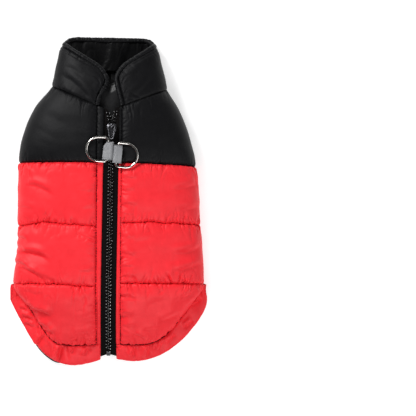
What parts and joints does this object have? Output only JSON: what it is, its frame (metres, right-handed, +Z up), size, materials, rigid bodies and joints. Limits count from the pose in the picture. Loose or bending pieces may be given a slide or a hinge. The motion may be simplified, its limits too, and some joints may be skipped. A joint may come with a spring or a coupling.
{
  "type": "padded dog vest",
  "caption": "Padded vest for a small dog, laid on its belly: black yoke and collar, red quilted back, zip, two D-rings for a leash, armholes and a black belly panel.",
  "frame": {"origin": "on the floor, under the middle of the vest's bounding box, where its belly panel lies flat", "axes": "+Y towards the neck, +Z up from the floor to the zip side, +X to the right as seen from above with the neck away"},
  "size_m": [0.196, 0.3265, 0.057],
  "materials": {
    "black_shell": "satin",
    "red_shell": "satin",
    "black_lining": "satin",
    "black_fleece": "matte",
    "zip_tape": "matte",
    "zip_teeth": "satin",
    "zip_metal": "satin",
    "reflective_webbing": "satin",
    "polished_steel": "polished"
  },
  "bodies": {
    "vest": {"armhole_binding_left": "black_fleece", "armhole_binding_right": "black_fleece", "belly_hem": "black_shell", "belly_panel": "black_shell", "channel_1_left": "red_shell", "channel_1_right": "red_shell", "channel_2_left": "red_shell", "channel_2_right": "red_shell", "channel_3_left": "red_shell", "channel_3_right": "red_shell", "collar": "black_shell", "collar_binding": "black_shell", "hem_band_left": "red_shell", "hem_band_right": "red_shell", "hem_facing_left": "black_lining", "hem_facing_right": "black_lining", "lining_left": "black_lining", "lining_right": "black_lining", "placket_black_left": "black_shell", "placket_black_right": "black_shell", "placket_red_left": "red_shell", "placket_red_right": "red_shell", "webbing_loop_left": "reflective_webbing", "webbing_loop_right": "reflective_webbing", "yoke_left": "black_shell", "yoke_right": "black_shell", "zip_chain": "zip_teeth", "zip_flap": "black_lining", "zip_row_left": "zip_teeth", "zip_row_right": "zip_teeth", "zip_slider": "zip_metal", "zip_stop": "zip_metal", "zip_tape_left": "zip_tape", "zip_tape_right": "zip_tape"},
    "ring_left": {"d_ring_left": "polished_steel"},
    "ring_right": {"d_ring_right": "polished_steel"},
    "tab": {"pull_tab": "zip_metal"}
  },
  "joints": [
    {"name": "left_ring_swing", "type": "hinge", "parent": "vest", "child": "ring_left", "pos_m": [-0.0002, 0.0498, 0.0543], "axis": [0.0593, 0.9982, 0], "range_deg": [0, 95]},
    {"name": "right_ring_swing", "type": "hinge", "parent": "vest", "child": "ring_right", "pos_m": [0.009, 0.045, 0.0543], "axis": [-0.1132, -0.9936, 0], "range_deg": [0, 95]},
    {"name": "tab_lift", "type": "hinge", "parent": "vest", "child": "tab", "pos_m": [0.00375, 0.07408, 0.05181], "axis": [-1, 0.0088, 0], "range_deg": [0, 150]}
  ]
}
